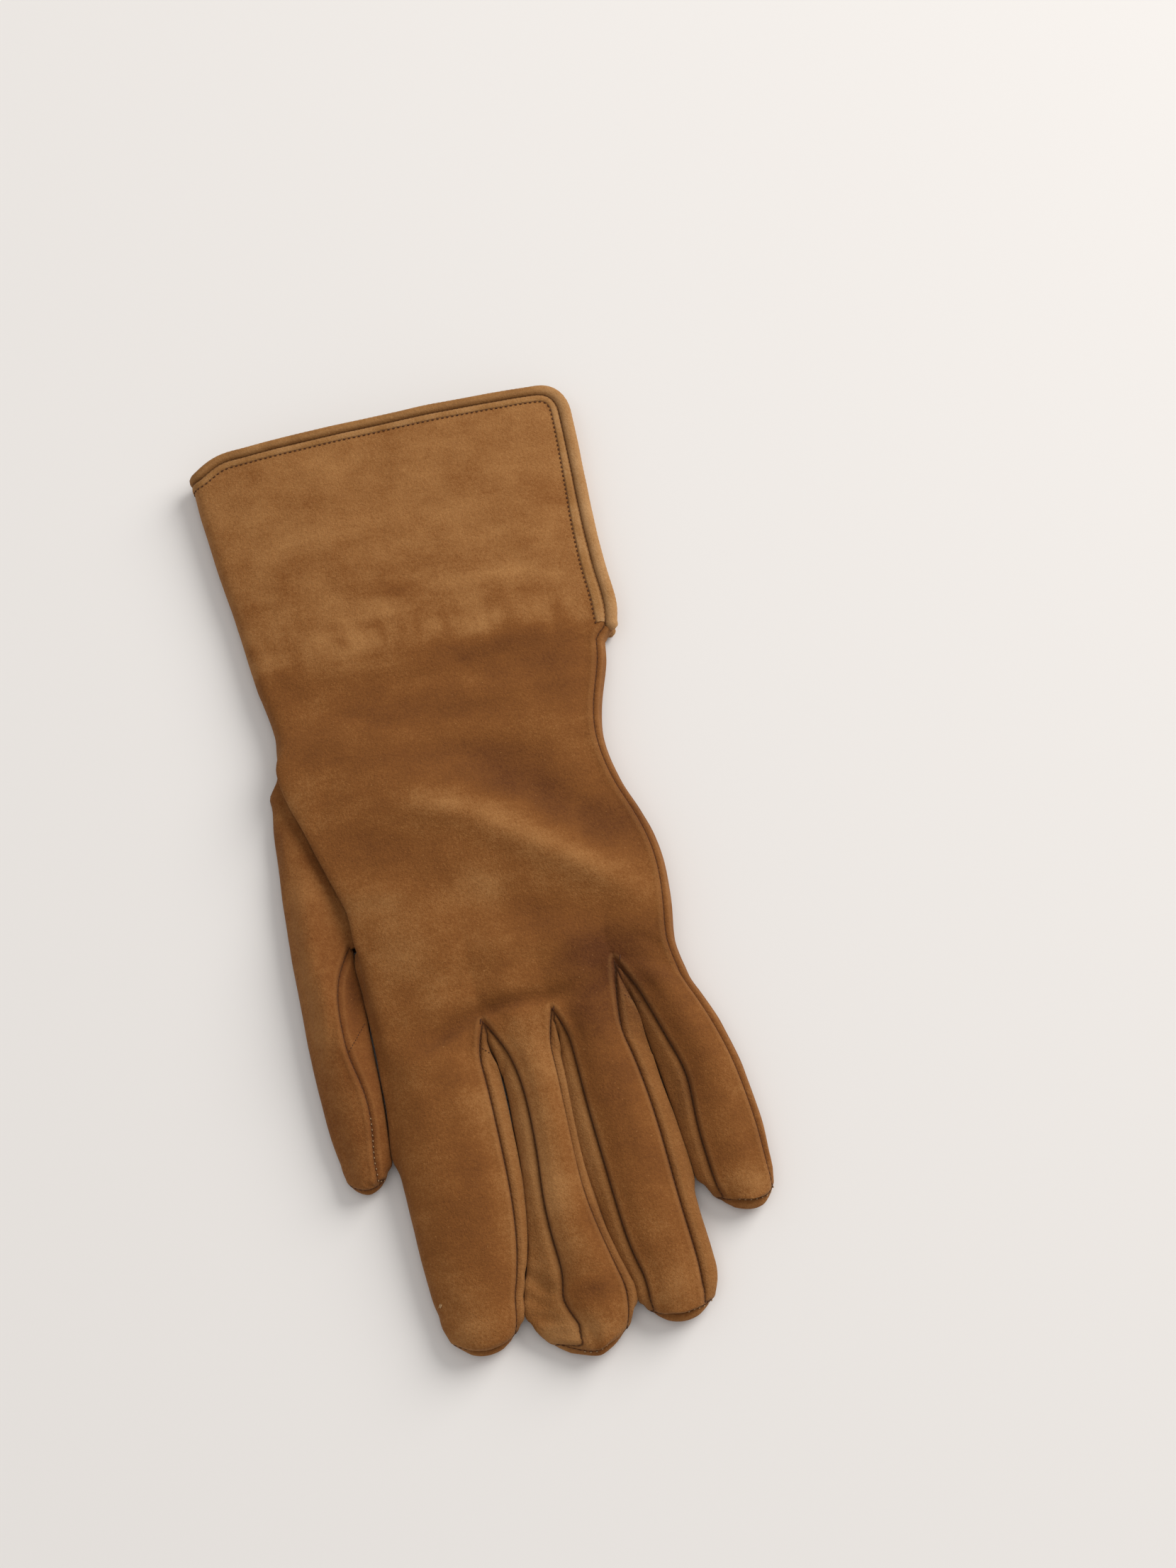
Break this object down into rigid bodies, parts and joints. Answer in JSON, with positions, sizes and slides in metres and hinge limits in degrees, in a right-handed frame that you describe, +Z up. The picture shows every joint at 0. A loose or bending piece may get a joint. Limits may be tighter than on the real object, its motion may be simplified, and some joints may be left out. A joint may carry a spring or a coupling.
{
  "type": "dress_glove",
  "caption": "Left-hand dress glove in tan nubuck leather, lying palm down, with gusseted fingers, a set-in thumb, a long cuff with a side vent and a rolled leather edge",
  "frame": {"origin": "under the middle of the glove's outline, on the surface that its palm lies on", "axes": "+Y from the fingertips to the cuff, +X from the thumb side to the little-finger side, +Z up from the palm to the back of the hand"},
  "size_m": [0.1216, 0.2772, 0.0149],
  "materials": {
    "nubuck_hide": "brushed nubuck, uneven nap, matte",
    "nubuck_thumb": "brushed nubuck, uneven nap, matte",
    "nubuck_gusset": "brushed nubuck, finer nap, matte",
    "nubuck_rolled_edge": "rolled nubuck edge, slightly darker and smoother"
  },
  "bodies": {
    "root": {"trank_back": "nubuck_hide", "trank_palm": "nubuck_hide", "thumb": "nubuck_thumb", "fourchette_index_outer_side": "nubuck_gusset", "fourchette_middle_thumb_side": "nubuck_gusset", "fourchette_middle_outer_side": "nubuck_gusset", "fourchette_ring_thumb_side": "nubuck_gusset", "fourchette_ring_outer_side": "nubuck_gusset", "fourchette_little_thumb_side": "nubuck_gusset", "cuff_binding": "nubuck_rolled_edge"}
  },
  "joints": []
}
